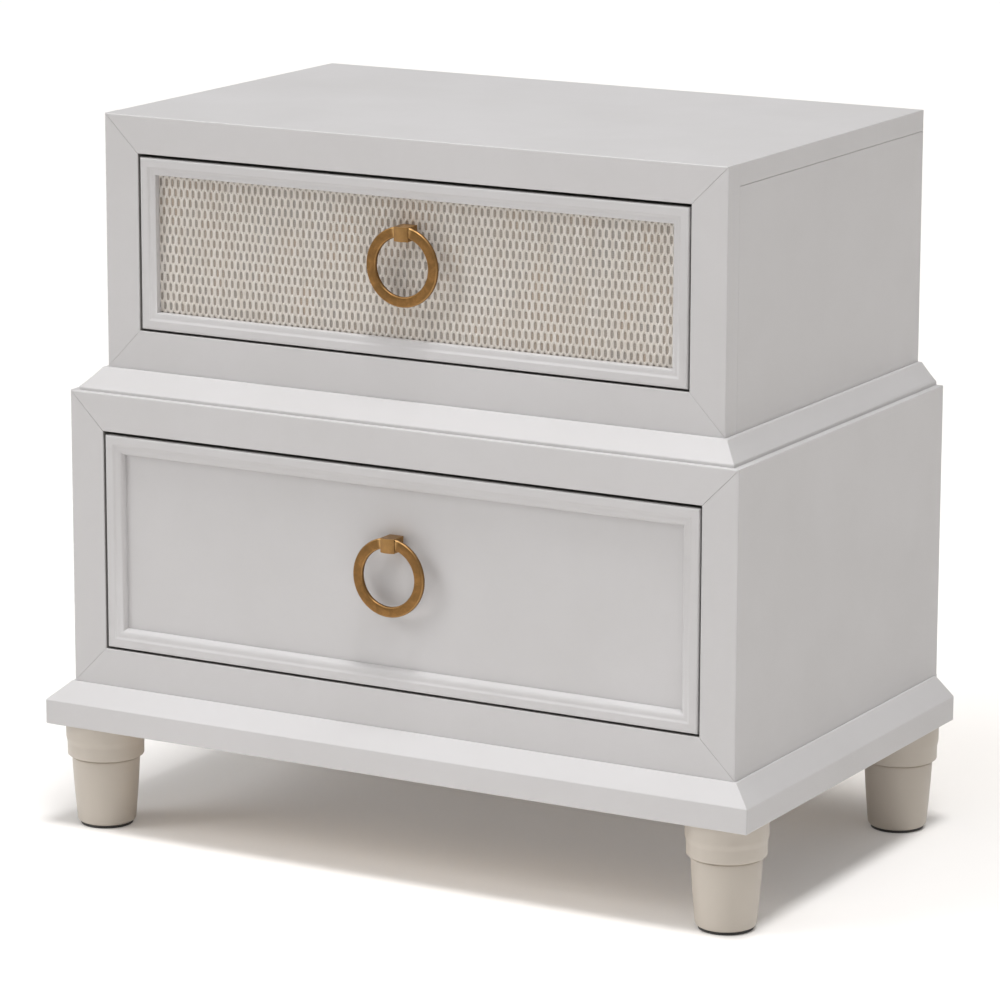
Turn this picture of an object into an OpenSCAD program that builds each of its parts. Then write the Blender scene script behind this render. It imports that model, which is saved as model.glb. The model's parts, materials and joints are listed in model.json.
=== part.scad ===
// Two-tier nightstand with two inset drawers, ring pulls and turned feet.
// Millimetres, +Z up, front facing -Y. The origin is on the floor, under the
// middle of the outline. Every piece is a separate solid.

/* [Lower case] */
// Outside width of the lower case
lower_w = 700; // [560:5:900]
// Depth of the lower case, from its front face to its back edge
lower_d = 430; // [380:5:540]
// Height of the lower case front, above the base moulding
lower_h = 281.5; // [230:0.5:360]

/* [Upper case] */
// Inset of the upper case at each side
side_inset = 26.5; // [24:0.5:40]
// Setback of the upper case front
front_inset = 25; // [24:0.5:40]
// Height of the upper case, above the step moulding
upper_h = 239.5; // [195:0.5:320]
// Width of the upper face frame's top member
upper_head_w = 35.5; // [30:0.5:50]
// Width of the upper face frame's bottom member
upper_foot_w = 37.5; // [30:0.5:50]

/* [Base and feet] */
// Height of the base moulding's upright face, and of the foot rails behind it
base_face_h = 25; // [18:0.5:32]
// Height of the base moulding's bevel, and of the bottom board behind it
base_bevel_h = 16; // [12:0.5:24]
// How far the base moulding stands out at the front
base_front = 18.5; // [14:0.5:26]
// How far the base moulding stands out at each side
base_side = 21.5; // [14:0.5:28]
// How far the side mouldings stop short of the back
base_back_gap = 7; // [0:0.5:12]
// Front-to-back size of each foot rail
foot_rail_d = 70; // [60:1:90]
// Height of a foot, glide included
foot_h = 101.5; // [80:0.5:130]
// Radius of the foot's collar at the top
foot_top_r = 38; // [30:0.5:40]
// Radius of the foot's body under the collar
foot_body_r = 32.4; // [26:0.2:34]
// Radius of the foot at the bottom
foot_low_r = 28; // [20:0.1:30]
// Height of the collar
collar_h = 33; // [24:0.5:40]
// Distance from the case side to the foot's axis
foot_in_x = 18.5; // [18:0.5:40]
// Distance from the case front to the front foot's axis
foot_in_front = 23; // [18:0.5:40]
// Distance from the case back to the rear foot's axis
foot_in_back = 43.5; // [30:0.5:60]
// Thickness of the glide under a foot
glide_t = 2.5; // [1.5:0.5:5]
// Radius of a hanger bolt
bolt_r = 4; // [3:0.5:5]
// How far a hanger bolt goes into its foot
bolt_in_foot = 38; // [25:1:50]

/* [Step moulding] */
// Height of the step moulding, and of the upper case's bottom board
step_h = 20.5; // [15:0.5:30]
// How far the step moulding stands out at the front
step_front = 21; // [14:0.5:23]
// How far the step moulding stands out at each side
step_side = 19.5; // [14:0.5:23]

/* [Boards] */
// Width of the face-frame members, but for the upper top and bottom ones
frame_w = 36; // [30:0.5:50]
// Thickness of the face-frame members
frame_t = 22; // [18:0.5:26]
// Thickness of the case sides
side_t = 18; // [15:0.5:22]
// Thickness of the top board
top_t = 20; // [15:0.5:28]
// Thickness of the board that closes the lower case
deck_t = 18; // [12:0.5:24]
// Thickness of the back panels
back_t = 6; // [4:0.5:9]
// Recess of the back panels' outer face
back_recess = 2; // [0:0.5:6]
// Width of the rebate that holds a back panel
rebate_w = 9; // [6:0.5:12]
// Play of a back panel in its rebates
rebate_play = 0.3; // [0.1:0.1:1]

/* [Drawer fronts] */
// Gap above a drawer front
gap_top = 3; // [1.5:0.5:4]
// Gap below and beside a drawer front
gap_side = 2; // [1.5:0.5:4]
// Thickness of a drawer front
front_t = 20; // [18:0.5:22]
// Width of the lower drawer's moulded border
lower_border_w = 18.5; // [16:0.5:30]
// Width of the upper drawer's moulded border
upper_border_w = 16; // [14:0.5:30]
// Width of the border's flat outer band
band_w = 7.5; // [5:0.5:9]
// Width of the sloping step inside the band
slope_w = 4; // [2:0.5:5]
// Depth of that step
slope_in = 1.4; // [0.8:0.1:2]
// Depth of the panel behind the border's face
panel_in = 8; // [6:0.5:10]
// Width of the rebate behind the border
border_rebate = 8; // [5:0.5:10]
// Play of a panel in its border
panel_play = 0.2; // [0.1:0.1:0.5]
// Thickness of the woven sheet
weave_t = 1.5; // [1:0.1:2.5]

/* [Drawer boxes] */
// Thickness of the drawer box sides, front and back
box_t = 12; // [10:0.5:16]
// Thickness of the drawer bottoms
bottom_t = 6; // [4:0.5:8]
// Height of the drawer bottom above the sides' lower edge
bottom_up = 10; // [8:0.5:16]
// Depth of the groove that holds a drawer bottom
groove_in = 6; // [4:0.5:8]
// Play of a drawer bottom in its groove
groove_play = 0.1; // [0.1:0.1:0.5]
// Gap from the opening's lower edge to the drawer box
box_under = 10; // [6:0.5:16]
// Gap from the drawer box to the opening's upper edge
box_over = 27; // [15:0.5:40]
// Gap between the drawer box and the back panel
box_behind = 12; // [6:0.5:30]

/* [Drawer slides] */
// Length of a slide
slide_len = 350; // [300:10:350]
// Thickness of a slide, from cleat to drawer side
slide_t = 12.7; // [12.5:0.1:16]
// Height of a slide
slide_h = 45; // [42:1:50]
// Thickness of the slides' sheet steel
sheet_t = 1.2; // [1:0.1:1.5]
// Ball space between neighbouring members
ball_gap = 2.7; // [2.4:0.1:3.2]
// Distance of a slide's front end behind the face frame
slide_back = 2; // [1:0.5:10]
// Height of the cleats that carry the slides
cleat_h = 60; // [50:1:80]

/* [Ring pulls] */
// Outer radius of the ring
ring_r = 37; // [30:0.5:42]
// Radial width of the ring's section
ring_w = 9.8; // [6:0.1:11]
// Thickness of the ring, front to back
ring_t = 4.6; // [4.4:0.1:6]
// Height of the ring's pivot above the drawer front's middle
pivot_up = 36; // [20:0.5:40]
// Distance of the pivot in front of the border's face
pivot_out = 6; // [5:0.5:10]
// Width of the post
post_w = 14.5; // [12:0.5:18]
// Height of the post
post_h = 13.5; // [11.5:0.5:18]
// How far the post's middle sits below the pivot
post_drop = 2; // [0:0.5:3]
// How far the post stands in front of the border's face
post_out = 11; // [10.5:0.5:16]
// Radius of the ring's pivot spigots
spigot_r = 2; // [1.5:0.1:2.1]
// Length of a spigot inside the post
spigot_len = 4.5; // [3:0.5:5]
// Running clearance round a spigot
spigot_play = 0.05; // [0.02:0.01:0.1]
// Gap between the ring's ends and the post
ring_gap = 0.3; // [0.2:0.1:0.6]
// Radius of the pull screw
screw_r = 2; // [1.5:0.1:2.5]
// How far the pull screw goes into the post
screw_in = 10; // [6:0.5:11]
// Clearance round the pull screw in the wood
screw_play = 0.25; // [0.1:0.05:0.5]
// Radius of the pull screw's head
screw_head_r = 4; // [3:0.5:6]
// Height of the pull screw's head
screw_head_h = 2.4; // [1.5:0.1:3]

/* [Hidden] */
$fn = 96;

// A length that only carries a cut past the face it goes through
over = 1;

// Heights of the main levels
z_base = foot_h;
z_board = z_base + base_face_h;
z_lower = z_board + base_bevel_h;
z_step = z_lower + lower_h;
z_upper = z_step + step_h;
z_top = z_upper + upper_h;

// Front-to-back planes
all_d = lower_d + base_front;
y_back = all_d / 2;
y_lower = y_back - lower_d;
y_upper = y_lower + front_inset;
y_panel = y_back - back_recess - back_t;
y_box_end = y_panel - box_behind;
y_base_end = y_back - base_back_gap;

// Half widths
lower_x = lower_w / 2;
upper_x = lower_x - side_inset;

// Colours
paint = [0.93, 0.93, 0.92];
cream = [0.88, 0.85, 0.79];
birch = [0.86, 0.77, 0.62];
zinc = [0.70, 0.72, 0.74];
brass = [0.52, 0.36, 0.17];
raffia = [0.80, 0.77, 0.71];
nylon = [0.20, 0.20, 0.21];

// Each tier as [half width, front plane, floor level, height, bottom and top member widths,
// width of its drawer's border, how deep the border falls before the panel]
LOWER = [lower_x, y_lower, z_lower, lower_h, frame_w, frame_w, lower_border_w, panel_in - 0.6];
UPPER = [upper_x, y_upper, z_upper, upper_h, upper_foot_w, upper_head_w, upper_border_w, slope_in + 1.1];

// Places inside a tier
function tier_x(t) = t[0];
function tier_y(t) = t[1];
function open_x(t) = t[0] - frame_w;
function open_low(t) = t[2] + t[4];
function open_high(t) = t[2] + t[3] - t[5];
function front_low(t) = open_low(t) + gap_side;
function front_high(t) = open_high(t) - gap_top;
function front_x(t) = open_x(t) - gap_side;
function front_mid(t) = (front_low(t) + front_high(t)) / 2;
function box_x(t) = open_x(t) - slide_t;
function box_low(t) = open_low(t) + box_under;
function box_high(t) = open_high(t) - box_over;
function box_start(t) = tier_y(t) + front_t;
function slide_mid(t) = (box_low(t) + box_high(t)) / 2;
function slide_start(t) = tier_y(t) + frame_t + slide_back;
function pivot_z(t) = front_mid(t) + pivot_up;
function pivot_y(t) = tier_y(t) - pivot_out;
function post_z(t) = pivot_z(t) - post_drop;
function floor_low(t) = box_low(t) + bottom_up;

// ---- helpers -------------------------------------------------------------

// A board between two opposite corners
module board(low, high) { translate(low) cube(high - low); }

// A flat outline in X and Z, given thickness along Y
module upright(y, t) { translate([0, y + t, 0]) rotate([90, 0, 0]) linear_extrude(t) children(); }

// A section in Y and Z, carried along X about the middle plane
module along_x(len) { translate([-len / 2, 0, 0]) rotate([90, 0, 90]) linear_extrude(len) children(); }

// A bore along Y
module bore_y(x, y, z, r, len) { translate([x, y, z]) rotate([-90, 0, 0]) cylinder(r = r, h = len); }

// ---- face frames ---------------------------------------------------------

// One mitred member: side is "top", "bottom", "left" or "right"
module frame_member(t, side) {
  x = tier_x(t);
  xi = open_x(t);
  low = t[2];
  high = t[2] + t[3];
  upright(tier_y(t), frame_t)
    if (side == "bottom") polygon([[-x, low], [x, low], [xi, open_low(t)], [-xi, open_low(t)]]);
    else if (side == "top") polygon([[-x, high], [x, high], [xi, open_high(t)], [-xi, open_high(t)]]);
    else let (s = side == "left" ? -1 : 1)
      polygon([[s * x, low], [s * x, high], [s * xi, open_high(t)], [s * xi, open_low(t)]]);
}

// ---- mouldings -----------------------------------------------------------

// Section of the base moulding: u runs out from the case, z runs up
function base_section(out) = [[0, 0], [0.96 * out, 0], [out, 1.2], [out, base_face_h - 1.5],
  [0.93 * out, base_face_h], [0.16 * out, z_lower - z_base - 1], [0.12 * out, z_lower - z_base],
  [0, z_lower - z_base]];

// Section of the step moulding: a lip, a shallow cove and a top ledge
step_lip = 3;
step_ledge = 0.19;
cove_steps = 6;
function cove(out, k) = let (s = k / cove_steps, bow = 0.3 * sin(180 * s))
  [out * (0.97 - (0.97 - step_ledge) * s) - bow, step_lip + 0.6 + (step_h - step_lip - 0.6) * s - bow];
function step_section(out) = concat([[0, 0], [out, 0], [out, step_lip]],
  [for (k = [0:cove_steps]) cove(out, k)], [[0, step_h]]);

// Plan of a front strip and of a right-hand strip, mitred at the corners
function front_plan(x, y, side, front) =
  [[-x, y], [x, y], [x + side, y - front], [-x - side, y - front]];
function right_plan(x, y, side, front, end) =
  [[x, y], [x + side, y - front], [x + side, end], [x, end]];

// A strip along the front
module front_strip(x, y, z, section, plan) {
  intersection() {
    along_x(4 * x) polygon([for (p = section) [y - p[0], z + p[1]]]);
    translate([0, 0, z - over]) linear_extrude(z_top) polygon(plan);
  }
}

// A strip along the right-hand side
module right_strip(x, y, z, section, plan, end) {
  intersection() {
    upright(y - 2 * base_side, end - y + 3 * base_side) polygon([for (p = section) [x + p[0], z + p[1]]]);
    translate([0, 0, z - over]) linear_extrude(z_top) polygon(plan);
  }
}

module base_front_strip() {
  front_strip(lower_x, y_lower, z_base, base_section(base_front),
              front_plan(lower_x, y_lower, base_side, base_front));
}
module base_side_strip() {
  right_strip(lower_x, y_lower, z_base, base_section(base_side),
              right_plan(lower_x, y_lower, base_side, base_front, y_base_end), y_base_end);
}
module step_front_strip() {
  front_strip(upper_x, y_upper, z_step, step_section(step_front),
              front_plan(upper_x, y_upper, step_side, step_front));
}
module step_side_strip() {
  right_strip(upper_x, y_upper, z_step, step_section(step_side),
              right_plan(upper_x, y_upper, step_side, step_front, y_back), y_back);
}

// ---- feet ----------------------------------------------------------------

foot_x = lower_x - foot_in_x;
foot_front = y_lower + foot_in_front;
foot_back = y_back - foot_in_back;
bolt_low = z_base - bolt_in_foot;
foot_places = [[-foot_x, foot_front], [foot_x, foot_front], [-foot_x, foot_back], [foot_x, foot_back]];

// Turned outline: rounded toe, tapered body, groove, flared collar
function foot_outline() = [[0, glide_t], [foot_low_r - 3, glide_t], [foot_low_r - 0.9, glide_t + 0.9],
  [foot_low_r, glide_t + 3], [foot_body_r, z_base - collar_h - 1.6],
  [foot_body_r - 0.8, z_base - collar_h - 0.8], [foot_body_r - 0.8, z_base - collar_h],
  [foot_top_r - 2.4, z_base - collar_h], [foot_top_r - 1.6, z_base - collar_h + 1.2],
  [foot_top_r - 1.4, z_base - 0.6 * collar_h], [foot_top_r - 0.3, z_base - 0.45 * collar_h],
  [foot_top_r, z_base], [0, z_base]];

module bolt_at(place) { translate([place[0], place[1], bolt_low]) cylinder(r = bolt_r, h = z_board - bolt_low); }
module foot(k) {
  color(cream) difference() {
    translate([foot_places[k][0], foot_places[k][1], 0]) rotate_extrude() polygon(foot_outline());
    bolt_at(foot_places[k]);
  }
}
module foot_rail(y0, y1) {
  color(birch) difference() {
    board([-lower_x, y0, z_base], [lower_x, y1, z_board]);
    for (p = foot_places) bolt_at(p);
  }
}

// ---- case ----------------------------------------------------------------

// A right-hand case side, rebated at the back for the panel
module case_side(t, low, high) {
  x = tier_x(t);
  difference() {
    board([x - side_t, tier_y(t) + frame_t, low], [x, y_back, high]);
    board([x - side_t - over, y_panel, low - over], [x - side_t + rebate_w, y_back + over, high + over]);
  }
}
module back_panel(t, low, high) {
  x = tier_x(t) - side_t + rebate_w - rebate_play;
  color(birch) board([-x, y_panel, low], [x, y_back - back_recess, high]);
}

// ---- drawer slides -------------------------------------------------------

// A channel on the right-hand side: the web faces the case or the drawer
module channel(t, web_in, web_out, lip_in, lip_out, half_h) {
  x = open_x(t);
  y0 = slide_start(t);
  z = slide_mid(t);
  board([x - web_out, y0, z - half_h], [x - web_in, y0 + slide_len, z + half_h]);
  for (s = [-1, 1])
    board([x - lip_out, y0, z + s * (half_h - sheet_t / 2) - sheet_t / 2],
          [x - lip_in, y0 + slide_len, z + s * (half_h - sheet_t / 2) + sheet_t / 2]);
}
middle_half = slide_h / 2 - sheet_t - ball_gap;
drawer_half = middle_half - sheet_t - ball_gap;
module case_channel(t) { channel(t, 0, sheet_t, 0, slide_t - 3.2, slide_h / 2); }
module middle_channel(t) {
  channel(t, sheet_t + 2.4, 2 * sheet_t + 2.4, sheet_t + 1, slide_t - sheet_t - 1, middle_half);
}
module drawer_channel(t) {
  channel(t, slide_t - sheet_t, slide_t, 2 * sheet_t + 3.6, slide_t, drawer_half);
}
module both() { children(); mirror([1, 0, 0]) children(); }

// Wood between the case side and the slide, flush with the opening
module cleat(t) {
  z = slide_mid(t);
  board([open_x(t), slide_start(t) - slide_back, z - cleat_h / 2],
        [tier_x(t) - side_t, slide_start(t) + slide_len, z + cleat_h / 2]);
}

// ---- drawers -------------------------------------------------------------

// Section of the moulded border: u runs in from the edge, v runs back
// A flat band, a sloping step, then a quarter round that falls towards the panel
round_steps = 6;
function border_round(t, k) = let (a = 90 * k / round_steps, start = band_w + slope_w)
  [start + (t[6] - start) * sin(a), slope_in + (t[7] - slope_in) * (1 - cos(a))];
function border_section(t) = concat([[0, 1.5], [0.45, 0.45], [1.5, 0], [band_w, 0]],
  [for (k = [0:round_steps]) border_round(t, k)],
  [[t[6], panel_in], [t[6] - border_rebate, panel_in], [t[6] - border_rebate, front_t], [0, front_t]]);

module border(t) {
  x = front_x(t);
  low = front_low(t);
  high = front_high(t);
  w = t[6];
  y = tier_y(t);
  half = (high - low) / 2;
  color(paint) translate([0, 0, front_mid(t)]) union() {
    for (s = [-1, 1]) {
      intersection() {
        along_x(2 * x) polygon([for (p = border_section(t)) [y + p[1], s * (half - p[0])]]);
        upright(y - over, front_t + 2 * over)
          polygon([[-x, s * half], [x, s * half], [x - w, s * (half - w)], [-x + w, s * (half - w)]]);
      }
      intersection() {
        translate([0, 0, -half]) linear_extrude(2 * half)
          polygon([for (p = border_section(t)) [s * (x - p[0]), y + p[1]]]);
        upright(y - over, front_t + 2 * over)
          polygon([[s * x, -half], [s * x, half], [s * (x - w), half - w], [s * (x - w), w - half]]);
      }
    }
  }
}

// Screw hole through everything between the post and the inside of the box
module screw_hole(t, r) { bore_y(0, tier_y(t) - post_out, post_z(t), r, post_out + front_t + box_t + over); }

// A slab that fills the border's rebate between two depths
module panel_slab(t, y0, y1, tone) {
  in = t[6] - border_rebate + panel_play;
  color(tone) difference() {
    board([in - front_x(t), tier_y(t) + y0, front_low(t) + in],
          [front_x(t) - in, tier_y(t) + y1, front_high(t) - in]);
    screw_hole(t, screw_r + screw_play);
  }
}

// The groove that the drawer bottom sits in
module floor_groove(t) {
  x = box_x(t) - box_t + groove_in;
  board([-x, box_start(t) + box_t - groove_in, floor_low(t) - groove_play],
        [x, y_box_end - box_t + groove_in, floor_low(t) + bottom_t + groove_play]);
}
module box_side(t) {
  color(birch) difference() {
    board([box_x(t) - box_t, box_start(t), box_low(t)], [box_x(t), y_box_end, box_high(t)]);
    floor_groove(t);
  }
}
module box_end(t, y0, holed) {
  x = box_x(t) - box_t;
  color(birch) difference() {
    board([-x, y0, box_low(t)], [x, y0 + box_t, box_high(t)]);
    floor_groove(t);
    if (holed) screw_hole(t, screw_r + screw_play);
  }
}
module box_floor(t) {
  x = box_x(t) - box_t + groove_in - groove_play;
  color(birch)
    board([-x, box_start(t) + box_t - groove_in + groove_play, floor_low(t)],
          [x, y_box_end - box_t + groove_in - groove_play, floor_low(t) + bottom_t]);
}

// ---- ring pulls ----------------------------------------------------------

module post(t) {
  y0 = tier_y(t) - post_out;
  y1 = tier_y(t) + panel_in;
  half = post_w / 2;
  bulge = 2;
  color(brass) difference() {
    translate([0, 0, post_z(t) - post_h / 2]) linear_extrude(post_h)
      polygon(concat([[half, y1], [-half, y1]],
        [for (k = [0:6]) [half * (k - 3) / 3, y0 + bulge * pow((k - 3) / 3, 2)]]));
    translate([-post_w, pivot_y(t), pivot_z(t)]) rotate([0, 90, 0])
      cylinder(r = spigot_r + spigot_play, h = 2 * post_w);
    bore_y(0, y1 - screw_in, post_z(t), screw_r, screw_in + over);
  }
}
module pull_screw(t) {
  y1 = box_start(t) + box_t;
  y0 = tier_y(t) + panel_in - screw_in;
  color(zinc) {
    bore_y(0, y0, post_z(t), screw_r, y1 - y0 + over);
    bore_y(0, y1, post_z(t), screw_head_r, screw_head_h);
  }
}

// Rounded section of the ring, then the open ring and its two spigots
ring_edge = 1.3;
edge_steps = 3;
function ring_section() = [for (c = [[1, 1], [-1, 1], [-1, -1], [1, -1]], k = [0:edge_steps])
  let (start = c[0] * c[1] > 0 ? (c[0] > 0 ? 0 : 180) : (c[0] < 0 ? 90 : 270), a = start + 90 * k / edge_steps)
  [ring_r - ring_w / 2 + c[0] * (ring_w / 2 - ring_edge) + ring_edge * cos(a),
   c[1] * (ring_t / 2 - ring_edge) + ring_edge * sin(a)]];
module ring(t) {
  gap = post_w / 2 + ring_gap;
  mid = ring_r - ring_w / 2;
  color(brass) translate([0, pivot_y(t), pivot_z(t)]) {
    difference() {
      translate([0, 0, -mid]) rotate([90, 0, 0]) rotate_extrude() polygon(ring_section());
      board([-gap, -ring_t, -ring_w], [gap, ring_t, ring_w]);
    }
    for (s = [-1, 1])
      translate([s * (post_w / 2 - spigot_len), 0, 0]) rotate([0, s * 90, 0])
        cylinder(r = spigot_r, h = spigot_len + ring_gap + 2);
  }
}

// ---- nodes ---------------------------------------------------------------

module base_moulding_front() { color(paint) base_front_strip(); }
module base_moulding_left() { color(paint) mirror([1, 0, 0]) base_side_strip(); }
module base_moulding_right() { color(paint) base_side_strip(); }
module foot_rail_front() { foot_rail(y_lower, y_lower + foot_rail_d); }
module foot_rail_back() { foot_rail(y_base_end - foot_rail_d, y_base_end); }
module foot_front_left() { foot(0); }
module foot_front_right() { foot(1); }
module foot_back_left() { foot(2); }
module foot_back_right() { foot(3); }
module hanger_bolts() { color(zinc) for (p = foot_places) bolt_at(p); }
module foot_glides() {
  color(nylon) for (p = foot_places)
    translate([p[0], p[1], 0]) cylinder(r = foot_low_r - 3, h = glide_t);
}

module lower_bottom() { color(paint) board([-lower_x, y_lower, z_board], [lower_x, y_back, z_lower]); }
module lower_side_left() { color(paint) mirror([1, 0, 0]) case_side(LOWER, z_lower, z_step); }
module lower_side_right() { color(paint) case_side(LOWER, z_lower, z_step); }
module lower_deck() {
  x = lower_x - side_t;
  color(paint) board([-x, y_lower + frame_t, z_step - deck_t], [x, y_panel, z_step]);
}
module lower_back() { back_panel(LOWER, z_lower, z_step); }
module lower_frame_top() { color(paint) frame_member(LOWER, "top"); }
module lower_frame_bottom() { color(paint) frame_member(LOWER, "bottom"); }
module lower_frame_left() { color(paint) frame_member(LOWER, "left"); }
module lower_frame_right() { color(paint) frame_member(LOWER, "right"); }

module step_moulding_front() { color(paint) step_front_strip(); }
module step_moulding_left() { color(paint) mirror([1, 0, 0]) step_side_strip(); }
module step_moulding_right() { color(paint) step_side_strip(); }

module upper_bottom() { color(paint) board([-upper_x, y_upper, z_step], [upper_x, y_back, z_upper]); }
module upper_side_left() { color(paint) mirror([1, 0, 0]) case_side(UPPER, z_upper, z_top - top_t); }
module upper_side_right() { color(paint) case_side(UPPER, z_upper, z_top - top_t); }
module upper_top() {
  color(paint) board([-upper_x, y_upper + frame_t, z_top - top_t], [upper_x, y_back, z_top]);
}
module upper_back() { back_panel(UPPER, z_upper, z_top - top_t); }
module upper_frame_top() { color(paint) frame_member(UPPER, "top"); }
module upper_frame_bottom() { color(paint) frame_member(UPPER, "bottom"); }
module upper_frame_left() { color(paint) frame_member(UPPER, "left"); }
module upper_frame_right() { color(paint) frame_member(UPPER, "right"); }

module slide_cleats() { color(birch) both() { cleat(LOWER); cleat(UPPER); } }
module lower_case_rails() { color(zinc) both() case_channel(LOWER); }
module upper_case_rails() { color(zinc) both() case_channel(UPPER); }
module lower_middle_rails() { color(zinc) both() middle_channel(LOWER); }
module upper_middle_rails() { color(zinc) both() middle_channel(UPPER); }

module lower_drawer_border() { border(LOWER); }
module lower_drawer_panel() { panel_slab(LOWER, panel_in, front_t, paint); }
module lower_box_front() { box_end(LOWER, box_start(LOWER), true); }
module lower_box_back() { box_end(LOWER, y_box_end - box_t, false); }
module lower_box_left() { mirror([1, 0, 0]) box_side(LOWER); }
module lower_box_right() { box_side(LOWER); }
module lower_box_bottom() { box_floor(LOWER); }
module lower_drawer_rails() { color(zinc) both() drawer_channel(LOWER); }
module lower_pull_post() { post(LOWER); }
module lower_pull_screw() { pull_screw(LOWER); }
module lower_pull_ring() { ring(LOWER); }

module upper_drawer_border() { border(UPPER); }
module upper_drawer_panel() { panel_slab(UPPER, panel_in + weave_t, front_t, birch); }
module woven_sheet() { panel_slab(UPPER, panel_in, panel_in + weave_t, raffia); }
module upper_box_front() { box_end(UPPER, box_start(UPPER), true); }
module upper_box_back() { box_end(UPPER, y_box_end - box_t, false); }
module upper_box_left() { mirror([1, 0, 0]) box_side(UPPER); }
module upper_box_right() { box_side(UPPER); }
module upper_box_bottom() { box_floor(UPPER); }
module upper_drawer_rails() { color(zinc) both() drawer_channel(UPPER); }
module upper_pull_post() { post(UPPER); }
module upper_pull_screw() { pull_screw(UPPER); }
module upper_pull_ring() { ring(UPPER); }

base_moulding_front();
base_moulding_left();
base_moulding_right();
foot_rail_front();
foot_rail_back();
foot_front_left();
foot_front_right();
foot_back_left();
foot_back_right();
hanger_bolts();
foot_glides();
lower_bottom();
lower_side_left();
lower_side_right();
lower_deck();
lower_back();
lower_frame_top();
lower_frame_bottom();
lower_frame_left();
lower_frame_right();
step_moulding_front();
step_moulding_left();
step_moulding_right();
upper_bottom();
upper_side_left();
upper_side_right();
upper_top();
upper_back();
upper_frame_top();
upper_frame_bottom();
upper_frame_left();
upper_frame_right();
slide_cleats();
lower_case_rails();
upper_case_rails();
lower_middle_rails();
upper_middle_rails();
lower_drawer_border();
lower_drawer_panel();
lower_box_front();
lower_box_back();
lower_box_left();
lower_box_right();
lower_box_bottom();
lower_drawer_rails();
lower_pull_post();
lower_pull_screw();
lower_pull_ring();
upper_drawer_border();
upper_drawer_panel();
woven_sheet();
upper_box_front();
upper_box_back();
upper_box_left();
upper_box_right();
upper_box_bottom();
upper_drawer_rails();
upper_pull_post();
upper_pull_screw();
upper_pull_ring();
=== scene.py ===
# %% [markdown]
# # A painted nightstand with a woven drawer front
# The nightstand stands in two tiers. Each tier is a box of painted boards with a mitred frame on
# its front and one inset drawer. The frame file gives every board its true place, so this lesson
# only adds what a designer's model leaves out: softened edges, turned feet, aged brass, and a front
# panel woven from cord. What the boards, cord and metal are made of, and everything inside, are
# guesses at how such a piece is usually made.
#
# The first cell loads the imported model. Its nodes are already in metres and in place.

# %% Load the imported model
import json
import math
import bpy
import bmesh
from mathutils import Matrix, Vector


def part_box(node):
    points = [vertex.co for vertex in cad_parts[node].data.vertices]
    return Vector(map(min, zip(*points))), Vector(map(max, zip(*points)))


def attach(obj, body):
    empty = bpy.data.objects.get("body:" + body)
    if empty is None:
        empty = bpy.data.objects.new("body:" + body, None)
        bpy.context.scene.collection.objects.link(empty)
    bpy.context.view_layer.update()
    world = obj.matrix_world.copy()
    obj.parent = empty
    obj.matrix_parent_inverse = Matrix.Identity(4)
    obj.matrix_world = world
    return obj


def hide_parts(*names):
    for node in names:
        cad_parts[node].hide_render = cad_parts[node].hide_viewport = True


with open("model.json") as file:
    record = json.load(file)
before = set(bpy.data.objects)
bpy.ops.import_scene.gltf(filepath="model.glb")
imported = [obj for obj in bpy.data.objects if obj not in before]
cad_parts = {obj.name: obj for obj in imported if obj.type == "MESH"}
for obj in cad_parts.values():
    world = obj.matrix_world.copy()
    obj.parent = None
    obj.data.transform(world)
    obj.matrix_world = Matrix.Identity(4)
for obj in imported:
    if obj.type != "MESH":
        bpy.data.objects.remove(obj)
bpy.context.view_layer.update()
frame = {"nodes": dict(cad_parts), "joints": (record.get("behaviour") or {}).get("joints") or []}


# %% [markdown]
# ## Measuring from the frame
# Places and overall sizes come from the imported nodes, so the pieces follow the model if it changes.
# Only small details, such as a rounded edge or the cord's pitch, have sizes of their own here.

# %% Read the main planes from the nodes
MM = 0.001


def low(node, axis):
    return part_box(node)[0]["xyz".index(axis)]


def high(node, axis):
    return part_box(node)[1]["xyz".index(axis)]


FLOOR = 0.0
TOP = high("upper_top", "z")
BACK = high("lower_side_left", "y")
FRONT = {"lower": low("lower_frame_top", "y"), "upper": low("upper_frame_top", "y")}
SIDE = {"lower": high("lower_frame_top", "x"), "upper": high("upper_frame_top", "x")}
FOOT = {"lower": low("lower_frame_left", "z"), "upper": low("upper_frame_left", "z")}
HEAD = {"lower": high("lower_frame_left", "z"), "upper": high("upper_frame_left", "z")}
for tier in ("lower", "upper"):
    print(tier, "tier: front", round(FRONT[tier], 4), "half width", round(SIDE[tier], 4),
          "from", round(FOOT[tier], 4), "to", round(HEAD[tier], 4))

# %% [markdown]
# ## The camera
# A long lens from far away keeps upright edges nearly parallel, as a catalogue view does. It could
# be aimed with a Track To constraint, but a plain matrix is easier to read: one axis looks back
# from the object to the camera, one points right and one up, with a hair of roll.

# %% Place the camera
VIEW_AZIMUTH = math.radians(29.318)
VIEW_ELEVATION = math.radians(12.752)
VIEW_ROLL = math.radians(0.171)
VIEW_DISTANCE = 4.560
VIEW_LENS = 173.46
VIEW_POINT = Vector((-0.0100, 0.0115, 0.3140))


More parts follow.
